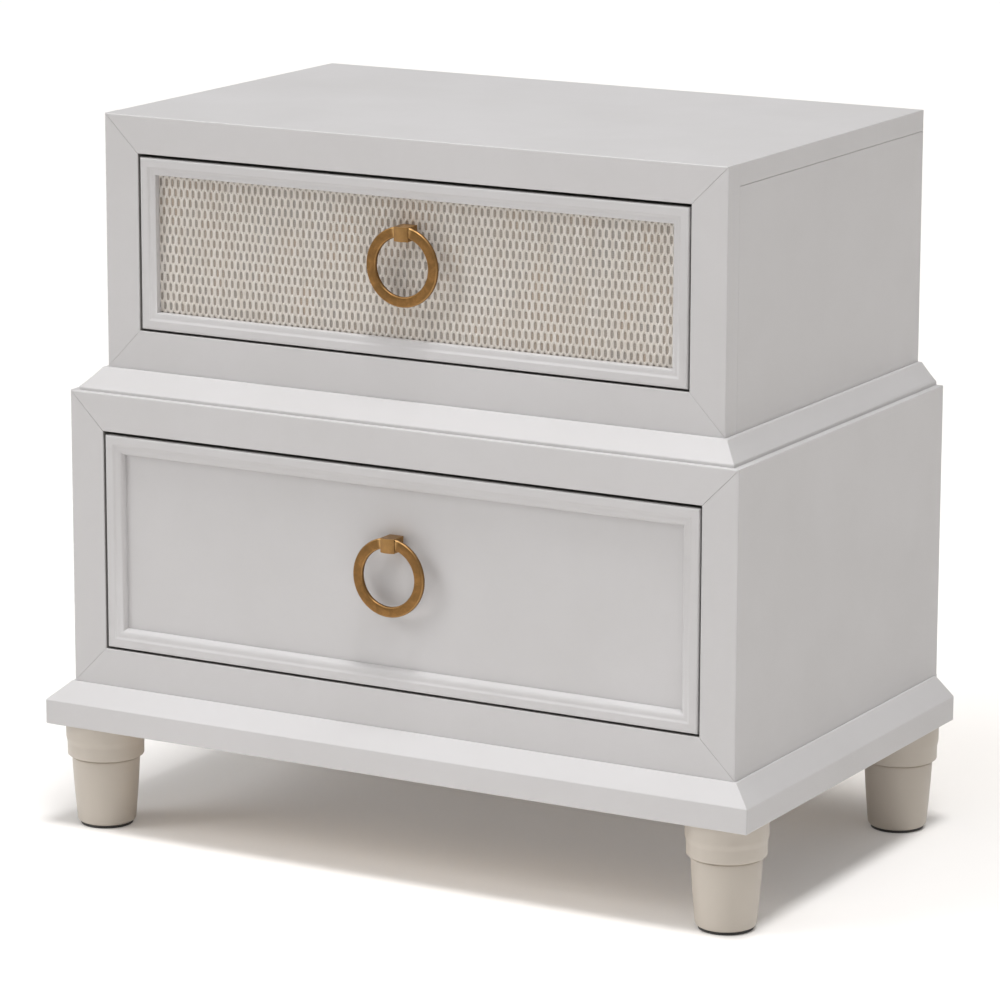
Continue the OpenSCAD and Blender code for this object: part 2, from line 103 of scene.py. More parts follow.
def camera_matrix():
    back = Vector((math.sin(VIEW_AZIMUTH) * math.cos(VIEW_ELEVATION),
                   -math.cos(VIEW_AZIMUTH) * math.cos(VIEW_ELEVATION),
                   math.sin(VIEW_ELEVATION)))
    right = Vector((math.cos(VIEW_AZIMUTH), math.sin(VIEW_AZIMUTH), 0.0))
    up = back.cross(right)
    turned_right = right * math.cos(VIEW_ROLL) + up * math.sin(VIEW_ROLL)
    turned_up = up * math.cos(VIEW_ROLL) - right * math.sin(VIEW_ROLL)
    place = VIEW_POINT + back * VIEW_DISTANCE
    return Matrix((
        (turned_right.x, turned_up.x, back.x, place.x),
        (turned_right.y, turned_up.y, back.y, place.y),
        (turned_right.z, turned_up.z, back.z, place.z),
        (0.0, 0.0, 0.0, 1.0)))


camera_data = bpy.data.cameras.new("camera")
camera_data.lens = VIEW_LENS
camera_data.sensor_width = 36.0
camera_data.clip_end = 50.0
camera = bpy.data.objects.new("camera", camera_data)
camera.matrix_world = camera_matrix()
bpy.context.scene.collection.objects.link(camera)
bpy.context.scene.camera = camera
print("camera at", [round(c, 3) for c in camera.matrix_world.translation])

# %% [markdown]
# ## Small tools for materials
# Each finish is a node tree on the Principled shader. A few helpers keep those trees short: they
# make the tree, add a node with its settings, place a noise, turn it into colours or a range, mix
# two colours and stack bumps. Patterns read Object coordinates, in metres, so they have the same
# scale on every piece and stay put when a drawer moves.

# %% Helpers for materials
def finish(name, roughness, metallic=0.0):
    """A new material and its Principled shader."""
    made = bpy.data.materials.new(name)
    made.use_nodes = True
    shader = made.node_tree.nodes["Principled BSDF"]
    shader.inputs["Roughness"].default_value = roughness
    shader.inputs["Metallic"].default_value = metallic
    return made, shader


def add(material, kind, **values):
    """A node of that kind, with its inputs set by name."""
    node = material.node_tree.nodes.new(kind)
    for key, value in values.items():
        node.inputs[key.replace("_", " ")].default_value = value
    return node


def join(material, output, socket):
    material.node_tree.links.new(output, socket)


def placed(material, stretch=(1.0, 1.0, 1.0), turn=(0.0, 0.0, 0.0)):
    """Object coordinates, stretched and turned."""
    coords = material.node_tree.nodes.new("ShaderNodeTexCoord")
    mapping = material.node_tree.nodes.new("ShaderNodeMapping")
    mapping.inputs["Scale"].default_value = stretch
    mapping.inputs["Rotation"].default_value = turn
    join(material, coords.outputs["Object"], mapping.inputs["Vector"])
    return mapping.outputs["Vector"]


def cloudy(material, where, scale, detail=3.0, roughness=0.5, distortion=0.0):
    """A noise read at a place."""
    node = add(material, "ShaderNodeTexNoise", Scale=scale, Detail=detail, Roughness=roughness,
               Distortion=distortion)
    join(material, where, node.inputs["Vector"])
    return node.outputs["Fac"]


def ramp(material, value, *stops):
    """A colour ramp through (position, colour) stops."""
    node = material.node_tree.nodes.new("ShaderNodeValToRGB")
    join(material, value, node.inputs["Fac"])
    band = node.color_ramp
    for index, (position, colour) in enumerate(stops):
        stop = band.elements[index] if index < 2 else band.elements.new(position)
        stop.position = position
        stop.color = (*colour, 1.0)
    return node.outputs["Color"]


def spread(material, value, least, most):
    """A noise value stretched to run from least to most."""
    node = add(material, "ShaderNodeMapRange")
    node.inputs["To Min"].default_value = least
    node.inputs["To Max"].default_value = most
    join(material, value, node.inputs["Value"])
    return node.outputs["Result"]


def blend_colours(material, share, first, second, mode="MIX"):
    """Two colours mixed by a share; a socket or a plain colour for each."""
    node = material.node_tree.nodes.new("ShaderNodeMix")
    node.data_type = "RGBA"
    node.blend_type = mode
    for socket, value in ((node.inputs[0], share), (node.inputs[6], first), (node.inputs[7], second)):
        if isinstance(value, bpy.types.NodeSocket):
            join(material, value, socket)
        elif isinstance(value, tuple):
            socket.default_value = (*value, 1.0)
        else:
            socket.default_value = value
    return node.outputs[2]


def bump(material, shader, *layers):
    """Bumps stacked on one another: each layer is (height socket, depth in metres, strength)."""
    below = None
    for height, depth, strength in layers:
        node = add(material, "ShaderNodeBump", Distance=depth, Strength=strength)
        join(material, height, node.inputs["Height"])
        if below is not None:
            join(material, below, node.inputs["Normal"])
        below = node.outputs["Normal"]
    join(material, below, shader.inputs["Normal"])


# %% [markdown]
# ## The white paint
# The case is fibreboard and poplar under a sprayed satin lacquer. Sprayed lacquer isn't perfectly
# flat: it has a faint orange-peel ripple about two millimetres across, and its sheen drifts a
# little over a hand's width. The colour barely changes, so a very weak cloud of two whites is
# enough. A coat layer isn't needed, because satin lacquer has one soft highlight, not two.

# %% White paint, and a darker, warmer copy for the feet
def satin_paint(name, light, dark, roughness):
    paint, shader = finish(name, roughness)
    where = placed(paint)
    tone = cloudy(paint, where, 7.0, detail=4.0, roughness=0.6)
    join(paint, ramp(paint, tone, (0.32, dark), (0.68, light)), shader.inputs["Base Color"])
    sheen = cloudy(paint, where, 16.0, detail=2.0)
    join(paint, spread(paint, sheen, roughness - 0.06, roughness + 0.06), shader.inputs["Roughness"])
    peel = cloudy(paint, where, 420.0, detail=2.0, roughness=0.45)
    waves = cloudy(paint, where, 60.0, detail=1.0)
    bump(paint, shader, (waves, 0.0006, 0.10), (peel, 0.00012, 0.22))
    return paint


WHITE = satin_paint("white_lacquer", (0.590, 0.580, 0.586), (0.566, 0.556, 0.559), 0.42)
# The feet take a darker, warmer copy of the white: painted shade and warm bounce light on the same white
# paint.
WARM_BOUNCE_WHITE = satin_paint("white_lacquer_painted_bounce", (0.562, 0.512, 0.452), (0.530, 0.480, 0.420), 0.44)

# %% [markdown]
# ## Painted shade in the gaps
# The gap round a drawer front should read as a dark line. What is on the faces inside it can't be
# seen, so this finish is a choice, not a fact: a dark grey from a little behind the front, which is
# painted shade that deepens the line. White faces would pass more light out of the gap and make the line
# paler.

# %% Painted gap shade
def painted_gap_shade():
    gap_shade, shader = finish("painted_gap_shade", 0.8)
    tone = cloudy(gap_shade, placed(gap_shade), 45.0, detail=3.0)
    colour = ramp(gap_shade, tone, (0.3, (0.250, 0.242, 0.232)), (0.7, (0.300, 0.291, 0.280)))
    join(gap_shade, colour, shader.inputs["Base Color"])
    bump(gap_shade, shader, (cloudy(gap_shade, placed(gap_shade), 700.0), 0.0001, 0.3))
    return gap_shade


GAP_SHADE = painted_gap_shade()

# %% [markdown]
# ## Raw wood for the drawer boxes
# Drawer boxes are birch with a clear lacquer. Plain-sawn birch shows long, pale, slightly wavy
# bands along the board and short fine pores in the same direction. Both are noises stretched
# along the grain. The grain runs along X on fronts, backs and bottoms and along Y on the sides, so
# the finish takes the direction as a setting.

# %% Birch, by grain direction
def birch(name, along):
    wood, shader = finish(name, 0.50)
    slow = {"x": (1.2, 14.0, 14.0), "y": (14.0, 1.2, 14.0)}[along]
    quick = {"x": (14.0, 420.0, 420.0), "y": (420.0, 14.0, 420.0)}[along]
    bands = cloudy(wood, placed(wood, slow), 1.6, detail=6.0, roughness=0.58, distortion=0.7)
    pores = cloudy(wood, placed(wood, quick), 1.0, detail=2.0, roughness=0.6)
    ground = ramp(wood, bands, (0.30, (0.60, 0.44, 0.27)), (0.52, (0.68, 0.52, 0.34)),
                  (0.70, (0.74, 0.59, 0.41)))
    dark = ramp(wood, pores, (0.36, (0.72, 0.66, 0.58)), (0.50, (1.0, 1.0, 1.0)))
    join(wood, blend_colours(wood, 0.55, ground, dark, "MULTIPLY"), shader.inputs["Base Color"])
    join(wood, spread(wood, bands, 0.42, 0.56), shader.inputs["Roughness"])
    bump(wood, shader, (bands, 0.0004, 0.15), (pores, 0.00015, 0.30))
    return wood


BIRCH_X = birch("birch_across", "x")
BIRCH_Y = birch("birch_along", "y")

# %% [markdown]
# ## Aged brass
# The pulls are cast brass with a brown patina that hands have partly polished away. Three things
# make that readable: a brown-gold ground, darker clouds where the patina stayed, and brighter
# metal on edges. That edge colour is partly the polish of hands and partly a painted highlight
# that makes the edges glint. Edges are found by the Pointiness of the surface, which the Geometry
# node gives, so the meshes need enough faces along their edges.

# %% Brass, zinc and nylon
def aged_brass():
    metal, shader = finish("aged_brass", 0.42, metallic=1.0)
    where = placed(metal)
    clouds = cloudy(metal, where, 130.0, detail=5.0, roughness=0.62, distortion=0.4)
    ground = ramp(metal, clouds, (0.28, (0.060, 0.025, 0.007)), (0.50, (0.130, 0.055, 0.014)),
                  (0.74, (0.250, 0.120, 0.036)))
    edges = metal.node_tree.nodes.new("ShaderNodeNewGeometry")
    # lighter edges: partly polish from hands, partly a painted highlight that glints
    rubbed_and_glint = ramp(metal, edges.outputs["Pointiness"], (0.505, (0.0, 0.0, 0.0)), (0.56, (1.0, 1.0, 1.0)))
    worn_and_glinting = blend_colours(metal, rubbed_and_glint, ground, (0.58, 0.35, 0.14))
    join(metal, worn_and_glinting, shader.inputs["Base Color"])
    join(metal, spread(metal, clouds, 0.50, 0.34), shader.inputs["Roughness"])
    grain = cloudy(metal, where, 1500.0, detail=2.0)
    bump(metal, shader, (clouds, 0.0003, 0.25), (grain, 0.00008, 0.35))
    return metal


def zinc_plate():
    metal, shader = finish("zinc_plate", 0.34, metallic=1.0)
    brushed = cloudy(metal, placed(metal, (900.0, 9.0, 900.0)), 1.0, detail=3.0)
    clouds = cloudy(metal, placed(metal), 40.0, detail=3.0)
    colour = ramp(metal, clouds, (0.30, (0.50, 0.53, 0.55)), (0.70, (0.66, 0.68, 0.69)))
    join(metal, colour, shader.inputs["Base Color"])
    join(metal, spread(metal, brushed, 0.26, 0.44), shader.inputs["Roughness"])
    bump(metal, shader, (brushed, 0.00005, 0.30))
    return metal


def dark_nylon():
    plastic, shader = finish("dark_nylon", 0.55)
    grain = cloudy(plastic, placed(plastic), 900.0, detail=2.0)
    colour = ramp(plastic, grain, (0.3, (0.035, 0.034, 0.033)), (0.7, (0.055, 0.053, 0.052)))
    join(plastic, colour, shader.inputs["Base Color"])
    bump(plastic, shader, (grain, 0.0001, 0.25))
    return plastic


BRASS = aged_brass()
ZINC = zinc_plate()
NYLON = dark_nylon()

# %% [markdown]
# ## Cord and its ground
# The woven front is off-white paper cord over a taupe cloth. The cord is twisted, so it shows fine
# slanting fibres and a slow drift of tone from strand to strand. The cloth behind is a plain
# weave of about two millimetres, made from two crossed wave patterns, and it is darker.

# %% Paper cord and taupe cloth
def paper_cord():
    cord, shader = finish("paper_cord", 0.72)
    twist = cloudy(cord, placed(cord, (1.0, 1.0, 0.35), (0.0, 0.5, 0.0)), 1600.0, detail=3.0, roughness=0.6)
    drift = cloudy(cord, placed(cord, (1.0, 1.0, 0.06)), 260.0, detail=2.0)
    ground = ramp(cord, drift, (0.30, (0.632, 0.583, 0.528)), (0.70, (0.722, 0.688, 0.650)))
    fibres = ramp(cord, twist, (0.30, (0.84, 0.81, 0.77)), (0.60, (1.0, 1.0, 1.0)))
    join(cord, blend_colours(cord, 0.6, ground, fibres, "MULTIPLY"), shader.inputs["Base Color"])
    shader.inputs["Sheen Weight"].default_value = 0.15
    bump(cord, shader, (twist, 0.0002, 0.45))
    return cord


def taupe_cloth():
    cloth, shader = finish("taupe_cloth", 0.85)
    where = placed(cloth)
    ribs = add(cloth, "ShaderNodeTexWave", Scale=150.0, Distortion=0.6, Detail=1.0)
    ribs.bands_direction = "X"
    join(cloth, where, ribs.inputs["Vector"])
    weft = add(cloth, "ShaderNodeTexWave", Scale=170.0, Distortion=0.6, Detail=1.0)
    weft.bands_direction = "Z"
    join(cloth, where, weft.inputs["Vector"])
    weave = blend_colours(cloth, 0.5, ribs.outputs["Color"], weft.outputs["Color"])
    patches = cloudy(cloth, placed(cloth, (1.0, 1.0, 0.5)), 42.0, detail=3.0)
    ground = ramp(cloth, patches, (0.34, (0.425, 0.358, 0.292)), (0.50, (0.385, 0.348, 0.305)),
                  (0.66, (0.368, 0.347, 0.320)))
    shade = ramp(cloth, weave, (0.1, (0.78, 0.76, 0.74)), (0.8, (1.0, 1.0, 1.0)))
    join(cloth, blend_colours(cloth, 0.8, ground, shade, "MULTIPLY"), shader.inputs["Base Color"])
    bump(cloth, shader, (weave, 0.0003, 0.5))
    return cloth


CORD = paper_cord()
CLOTH = taupe_cloth()
FINISHES = (WHITE, WARM_BOUNCE_WHITE, GAP_SHADE, BIRCH_X, BIRCH_Y, BRASS, ZINC, NYLON, CORD, CLOTH)
print("finishes:", [material.name for material in FINISHES])

# %% [markdown]
# ## From a CAD board to a painted board
# A CAD board has razor edges, and a real one never has: paint rounds them to about a millimetre,
# and a mitred joint shows as a hair-thin groove because both members are eased where they meet.
# The boards could be rebuilt from their sizes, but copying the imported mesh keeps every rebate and
# groove. The copy is merged into clean faces, its edges get a bevel weight by where they lie, and
# a Bevel modifier cuts them all at once, each to its own width.

# %% Helpers for meshes
CLOSE = 0.00002
ON_PLANE = CLOSE * 5
FLAT = math.radians(0.3)
CREASE = math.radians(24.0)
BORDER_CREASE = math.radians(35.0)
EASED_CREASE = math.radians(40.0)
TURNED_CREASE = math.radians(50.0)
WIDEST = 0.003


def mesh_copy(node):
    """A CAD node's mesh with its corners merged and its flat faces joined."""
    work = bmesh.new()
    work.from_mesh(frame["nodes"][node].data)
    bmesh.ops.remove_doubles(work, verts=work.verts, dist=CLOSE)
    bmesh.ops.dissolve_limit(work, angle_limit=FLAT, verts=work.verts, edges=work.edges)
    return work


def to_object(work, name, *materials):
    """A scene object from a working mesh."""
    mesh = bpy.data.meshes.new(name)
    work.to_mesh(mesh)
    work.free()
    for material in materials:
        mesh.materials.append(material)
    made = bpy.data.objects.new(name, mesh)
    bpy.context.scene.collection.objects.link(made)
    return made


def settle(piece):
    """Applies a piece's modifiers, so that it is a plain mesh."""
    depsgraph = bpy.context.evaluated_depsgraph_get()
    made = bpy.data.meshes.new_from_object(piece.evaluated_get(depsgraph))
    piece.modifiers.clear()
    piece.data = made
    made.name = piece.name
    return piece


def smooth(piece, angle):
    """Smooth shading, but sharp across edges that turn more than the angle."""
    work = bmesh.new()
    work.from_mesh(piece.data)
    for face in work.faces:
        face.smooth = True
    for edge in work.edges:
        edge.smooth = edge.is_manifold and edge.calc_face_angle(0.0) < angle
    work.to_mesh(piece.data)
    work.free()
    return piece


def even_shading(piece):
    """Lets large flat faces keep their normals beside small rounded ones."""
    modifier = piece.modifiers.new("even", "WEIGHTED_NORMAL")
    modifier.keep_sharp = True
    modifier.weight = 100
    return settle(piece)


def belongs(piece, body, slot, *nodes):
    """The piece moves with a body and stands for its nodes, whose imported copies are hidden. Its slot is not
    used.
    """
    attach(piece, body)
    if nodes:
        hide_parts(*nodes)
    return piece


# %% Choose edges by the planes they lie on
def on(**planes):
    """A test for an edge whose ends both lie on these planes, such as y=front."""
    wanted = [("xyz".index(axis), place) for axis, place in planes.items()]
    return lambda edge: all(abs(v.co[i] - place) < ON_PLANE for v in edge.verts for i, place in wanted)


def slanting(edge):
    """True for a mitre's edge, which runs along no single axis."""
    run = edge.verts[1].co - edge.verts[0].co
    return sum(abs(c) > 0.02 * run.length for c in run) > 1


def mitre_on(**planes):
    test = on(**planes)
    return lambda edge: slanting(edge) and test(edge)


def anywhere(edge):
    return True


def eased(node, rules, material, segments=3):
    """A board from a CAD node, its edges rounded by the first rule that picks each."""
    work = mesh_copy(node)
    weight = work.edges.layers.float.new("bevel_weight_edge")
    for edge in work.edges:
        if not edge.is_manifold or edge.calc_face_angle(0.0) < CREASE:
            continue
        for test, width in rules:
            if test(edge):
                edge[weight] = width / WIDEST
                break
    piece = to_object(work, node, material)
    modifier = piece.modifiers.new("ease", "BEVEL")
    modifier.limit_method = "WEIGHT"
    modifier.width = WIDEST
    modifier.segments = segments
    modifier.use_clamp_overlap = True
    piece = settle(piece)
    return even_shading(smooth(piece, EASED_CREASE))


# %% [markdown]
# ## The face frames
# Each tier's frame has four mitred members. The outer arris is rounded by about two millimetres,
# the arris of the opening by under one, and the mitres by half a millimetre, which leaves the thin
# line that shows at each corner. The foot of a frame stays square where a moulding meets it. On
# the upper tier the frame's back edge is eased too, because there a fine joint line runs down the
# case side. On the lower tier that joint is filled, so its back edge stays square.

# %% Make the face frames
ARRIS = {"lower": 2.3 * MM, "upper": 1.6 * MM}
INNER_ARRIS = 0.8 * MM
HAIRLINE = 0.45 * MM
FRAME_BACK = {tier: high(tier + "_frame_left", "y") for tier in ("lower", "upper")}


def frame_rules(tier, side):
    front = FRONT[tier]
    edge_of = {
        "left": on(x=-SIDE[tier], y=front), "right": on(x=SIDE[tier], y=front),
        "top": on(z=HEAD[tier], y=front)}
    rules = [(mitre_on(y=front), HAIRLINE)]
    if side == "top":
        rules.append((mitre_on(z=HEAD[tier]), HAIRLINE))
    if side != "bottom":
        rules.append((edge_of[side], ARRIS[tier]))
    if tier == "upper" and side in ("left", "right"):
        reach = SIDE[tier] if side == "right" else -SIDE[tier]
        rules.append((on(x=reach, y=FRAME_BACK[tier]), HAIRLINE))
    inner = {
        "left": on(x=high(tier + "_frame_left", "x"), y=front),
        "right": on(x=low(tier + "_frame_right", "x"), y=front),
        "top": on(z=low(tier + "_frame_top", "z"), y=front),
        "bottom": on(z=high(tier + "_frame_bottom", "z"), y=front)}
    rules.append((inner[side], INNER_ARRIS))
    return rules


GAP_SHADE_FROM = 2.0 * MM
SQUARE_ON = 0.95


def shade_gap_faces(piece, lowest, highest, front):
    """Gives the dark painted gap shade to faces turned towards an opening, from a little behind the front."""
    piece.data.materials.append(GAP_SHADE)
    for face in piece.data.polygons:
        for axis in (0, 2):
            turned = abs(face.normal[axis]) > SQUARE_ON
            inside = lowest[axis] - ON_PLANE < face.center[axis] < highest[axis] + ON_PLANE
            if turned and inside and face.center.y > front + GAP_SHADE_FROM:
                face.material_index = 1
    return piece


for tier in ("lower", "upper"):
    low_corner = (high(tier + "_frame_left", "x"), 0.0, high(tier + "_frame_bottom", "z"))
    high_corner = (low(tier + "_frame_right", "x"), 0.0, low(tier + "_frame_top", "z"))
    for side in ("top", "bottom", "left", "right"):
        node = tier + "_frame_" + side
        # faces round the opening, from a little behind the front, take the dark painted gap shade
        piece = shade_gap_faces(eased(node, frame_rules(tier, side), WHITE), low_corner, high_corner,
                             FRONT[tier])
        belongs(piece, "case", "white_paint", node)
print("face frames: 8 mitred members")

# %% [markdown]
# ## Sides, tops and bottoms
# The case boards need less: the top board is rounded along its back and side edges, the sides
# along their back edges, and the lower sides along their top edges too. The seam between the upper
# side and the top board stays visible as a hairline, as it does on the real piece.

# %% Make the case boards
BOARD_ARRIS = 1.2 * MM


def board_rules(node):
    reach = high(node, "x")
    outer = reach if abs(reach) > abs(low(node, "x")) else low(node, "x")
    soft = BOARD_ARRIS
    rules = [(on(x=outer, y=BACK), soft)]
    if node.startswith("upper_side"):
        rules += [(on(x=outer, z=high(node, "z")), HAIRLINE), (on(x=outer, y=low(node, "y")), HAIRLINE)]
    if node == "upper_top":
        rules = [(on(z=TOP, y=BACK), soft), (on(z=TOP, x=reach), soft), (on(z=TOP, x=-reach), soft),
                 (on(z=low(node, "z"), x=reach), HAIRLINE), (on(z=low(node, "z"), x=-reach), HAIRLINE),
                 (on(y=BACK, x=reach), soft), (on(y=BACK, x=-reach), soft),
                 (on(x=reach, y=low(node, "y")), HAIRLINE), (on(x=-reach, y=low(node, "y")), HAIRLINE)]
    if node.startswith("lower_side"):
        rules.append((on(x=outer, z=high(node, "z")), soft))
    return rules


CASE_BOARDS = ("lower_side_left", "lower_side_right", "upper_side_left", "upper_side_right", "upper_top",
               "lower_bottom", "upper_bottom", "lower_deck")
for node in CASE_BOARDS:
    belongs(eased(node, board_rules(node), WHITE), "case", "white_paint", node)

# %% [markdown]
# ## The base moulding and the step moulding
# Both run round three sides and are mitred at the front corners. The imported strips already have
# the right section, so they only need their long edges rounded and their mitres eased. Slanting
# edges are mitres, and edges that touch the case behind or below stay square, because rounding
# them would open a dark groove. Everything else that turns sharply is an arris.

# %% Make the mouldings
MOULDING_ARRIS = {"base": 1.3 * MM, "step": 0.9 * MM}
BEHIND = {"base": "lower", "step": "upper"}
for kind in ("base", "step"):
    tier = BEHIND[kind]
    glued = {"front": on(y=FRONT[tier]), "left": on(x=-SIDE[tier]), "right": on(x=SIDE[tier])}
    for side in ("front", "left", "right"):
        node = kind + "_moulding_" + side
        rules = [(glued[side], 0.0), (slanting, HAIRLINE)]
        if kind == "step":
            rules.append((on(z=low(node, "z")), 0.0))
        rules.append((anywhere, MOULDING_ARRIS[kind]))
        belongs(eased(node, rules, WHITE), "case", "white_paint", node)
print("mouldings: 6 strips")

# %% [markdown]
# ## The drawer borders
# A drawer's border is a picture frame: one section carried round a rectangle. The section starts
# with a rounded outer edge and a flat band, steps down through a small ogee, and then rounds over
# towards the panel. Carrying the section round in code gives true mitres and lets the curves have
# as many points as they need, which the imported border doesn't.

# %% A section carried round a rectangle
def arc(centre, radius, start, end, steps):
    """Points on an arc, angles in degrees."""
    points = []
    for k in range(steps + 1):
        angle = math.radians(start + (end - start) * k / steps)
        points.append((centre[0] + radius * math.cos(angle), centre[1] + radius * math.sin(angle)))
    return points


BAND = 7.5 * MM
OGEE = 4.0 * MM
OGEE_FALL = 1.4 * MM
PANEL_IN = low("lower_drawer_panel", "y") - FRONT["lower"]
LIP = 0.6 * MM
BORDER_EDGE = 2.2 * MM
EDGE_SHANK = 1.8 * MM
REBATE = 8.0 * MM
PANEL_PLAY = 0.2 * MM
SHALLOW_ROUND = 1.1 * MM
BORDER_SHADE_FROM = 3.5 * MM


def border_section(width, fall, thick, rebate):
    """Section of a drawer border: (in from the edge, back from the face)."""
    edge = BORDER_EDGE
    points = [(0.0, thick), (0.0, edge + EDGE_SHANK)]
    points += arc((edge, edge), edge, 180.0, 270.0, 5)
    for k in range(1, 9):
        share = k / 8.0
        points.append((BAND + OGEE * share, OGEE_FALL * (0.5 - 0.5 * math.cos(math.pi * share))))
    start = BAND + OGEE
    for k in range(1, 9):
        angle = math.radians(90.0 * k / 8.0)
        points.append((start + (width - start) * math.sin(angle),
                       OGEE_FALL + (fall - OGEE_FALL) * (1.0 - math.cos(angle))))
    points += [(width, PANEL_IN), (width - rebate, PANEL_IN), (width - rebate, thick)]
    return points


def carried_round(name, section, half_width, bottom, top, face, material):
    """The section swept round an upright rectangle, with a mitre at each corner."""
    work = bmesh.new()
    rings = []
    for sx, at_top in ((-1, False), (1, False), (1, True), (-1, True)):
        ring = []
        for inward, back in section:
            z = top - inward if at_top else bottom + inward
            ring.append(work.verts.new((sx * (half_width - inward), face + back, z)))
        rings.append(ring)
    count = len(section)
    for corner in range(4):
        here, there = rings[corner], rings[(corner + 1) % 4]
        for k in range(count):
            after = (k + 1) % count
            work.faces.new((here[k], here[after], there[after], there[k]))
    bmesh.ops.recalc_face_normals(work, faces=work.faces)
    return to_object(work, name, material)


for tier, fall in (("lower", PANEL_IN - LIP), ("upper", OGEE_FALL + SHALLOW_ROUND)):
    node = tier + "_drawer_border"
    (x0, y0, z0), (x1, y1, z1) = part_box(node)
    width = x1 - high(tier + "_drawer_panel", "x") + REBATE - PANEL_PLAY
    section = border_section(width, fall, y1 - y0, REBATE)
    piece = carried_round(node, section, x1, z0, z1, y0, WHITE)
    piece = even_shading(smooth(piece, BORDER_CREASE))
    # the border's outer edge faces, deeper than a few millimetres, take the dark painted gap shade
    piece.data.materials.append(GAP_SHADE)
    for face in piece.data.polygons:
        at_side = abs(abs(face.center.x) - x1) < CLOSE
        at_end = min(face.center.z - z0, z1 - face.center.z) < CLOSE
        if (at_side or at_end) and face.center.y > y0 + BORDER_SHADE_FROM:
            face.material_index = 1
    belongs(piece, tier + "_drawer", "white_paint", node)
    print(node, "border width", round(width / MM, 1), "mm")

# %% [markdown]
# ## The lower panel and the parts inside
# The flat lower panel, the drawer boxes, the foot rails, the cleats and the back panels keep their
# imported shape. Their edges are eased like any planed board, and each wooden one gets the birch
# whose grain runs along it.

# %% Make the drawer boards
BOX_ARRIS = 0.7 * MM


def eased_part(node, body, slot, material, width=BOX_ARRIS):
    piece = eased(node, [(anywhere, width)], material, segments=2)
    return belongs(piece, body, slot, node)


eased_part("lower_drawer_panel", "lower_drawer", "white_paint", WHITE, HAIRLINE)
eased_part("upper_drawer_panel", "upper_drawer", "birch", BIRCH_X, HAIRLINE)
for tier in ("lower", "upper"):
    for part in ("front", "back", "bottom"):
        eased_part(tier + "_box_" + part, tier + "_drawer", "birch", BIRCH_X)
    for part in ("left", "right"):
        eased_part(tier + "_box_" + part, tier + "_drawer", "birch", BIRCH_Y)
for node in ("foot_rail_front", "foot_rail_back"):
    eased_part(node, "case", "birch", BIRCH_X)
eased_part("slide_cleats", "case", "birch", BIRCH_Y)
eased_part("lower_back", "case", "birch", BIRCH_X, HAIRLINE)
eased_part("upper_back", "case", "birch", BIRCH_X, HAIRLINE)

# %% [markdown]
# ## Turned feet
# A foot is turned on a lathe, so a Spin of its outline is the natural way. The outline has a
# flared collar, a small cove and groove under it, a tapered body and a rounded toe. The spin is
# done in code with closed poles, and the outline's sharp steps get small radii from given arcs.

# %% Lathe a foot
def lathe(work, outline, centre, steps):
    """Turns (radius, height) points about an upright axis. Points of radius 0 close the ends."""
    rings = []
    for radius, height in outline:
        if radius < CLOSE:
            rings.append([work.verts.new((centre[0], centre[1], height))])
            continue
        ring = []
        for k in range(steps):
            angle = 2.0 * math.pi * k / steps
            ring.append(work.verts.new((centre[0] + radius * math.cos(angle),
                                        centre[1] + radius * math.sin(angle), height)))
        rings.append(ring)
    for one, two in zip(rings, rings[1:]):
        for k in range(steps):
            after = (k + 1) % steps
            corners = [one[k % len(one)], one[after % len(one)], two[after % len(two)], two[k % len(two)]]
            kept = [v for index, v in enumerate(corners) if v not in corners[:index]]
            if len(kept) > 2:
                work.faces.new(kept)
    bmesh.ops.recalc_face_normals(work, faces=work.faces)


BODY_IN = 5.6 * MM
TOE_IN = 10.0 * MM
COLLAR = 33.0 * MM
TOE_ROUND = 4.2 * MM
BODY_SWELL = 0.35 * MM
NECK = 3.0 * MM
COLLAR_ROUND = 1.4 * MM
COLLAR_FLARE = 1.15 * MM
FOOT_STEPS = 72


def foot_outline(bottom, top, wide):
    """The turned outline from the toe up."""
    body = wide - BODY_IN
    toe = wide - TOE_IN
    seat = top - COLLAR
    points = [(0.0, bottom), (toe - 5.0 * MM, bottom)]
    points += arc((toe - TOE_ROUND, bottom + TOE_ROUND), TOE_ROUND, -80.0, 0.0, 6)
    for k in range(1, 7):
        share = k / 7.0
        swell = BODY_SWELL * math.sin(math.pi * share)
        points.append((toe + (body - toe) * share + swell, bottom + TOE_ROUND
                       + (seat - NECK - bottom - TOE_ROUND) * share))
    points += [(body, seat - NECK), (body - 0.15 * MM, seat - 2.2 * MM),
               (body - 1.0 * MM, seat - 1.5 * MM), (body - 1.1 * MM, seat - 0.4 * MM),
               (body - 0.9 * MM, seat)]
    points += arc((wide - 2.9 * MM, seat + COLLAR_ROUND), COLLAR_ROUND, -90.0, -10.0, 5)
    for k in range(0, 9):
        share = k / 8.0
        flare = 0.5 - 0.5 * math.cos(math.pi * share)
        points.append((wide - COLLAR_ROUND + COLLAR_FLARE * flare, seat + (0.34 + 0.24 * share) * COLLAR))
    points += [(wide - 0.05 * MM, top - 1.0 * MM), (wide, top - 0.4 * MM), (wide - 0.3 * MM, top),
               (0.0, top)]
    return points


for node in ("foot_front_left", "foot_front_right", "foot_back_left", "foot_back_right"):
    (x0, y0, z0), (x1, y1, z1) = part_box(node)
    wide = (x1 - x0) / 2.0
    work = bmesh.new()
    outline = foot_outline(z0, z1, wide)
    lathe(work, outline, ((x0 + x1) / 2.0, (y0 + y1) / 2.0), FOOT_STEPS)
    # the feet take the white's darker, warmer copy, with painted shade and warm bounce light
    piece = to_object(work, node, WARM_BOUNCE_WHITE)
    belongs(smooth(piece, TURNED_CREASE), "case", "cream_paint", node)
print("foot outline:", len(outline), "points, collar", round(wide / MM, 1), "mm radius")

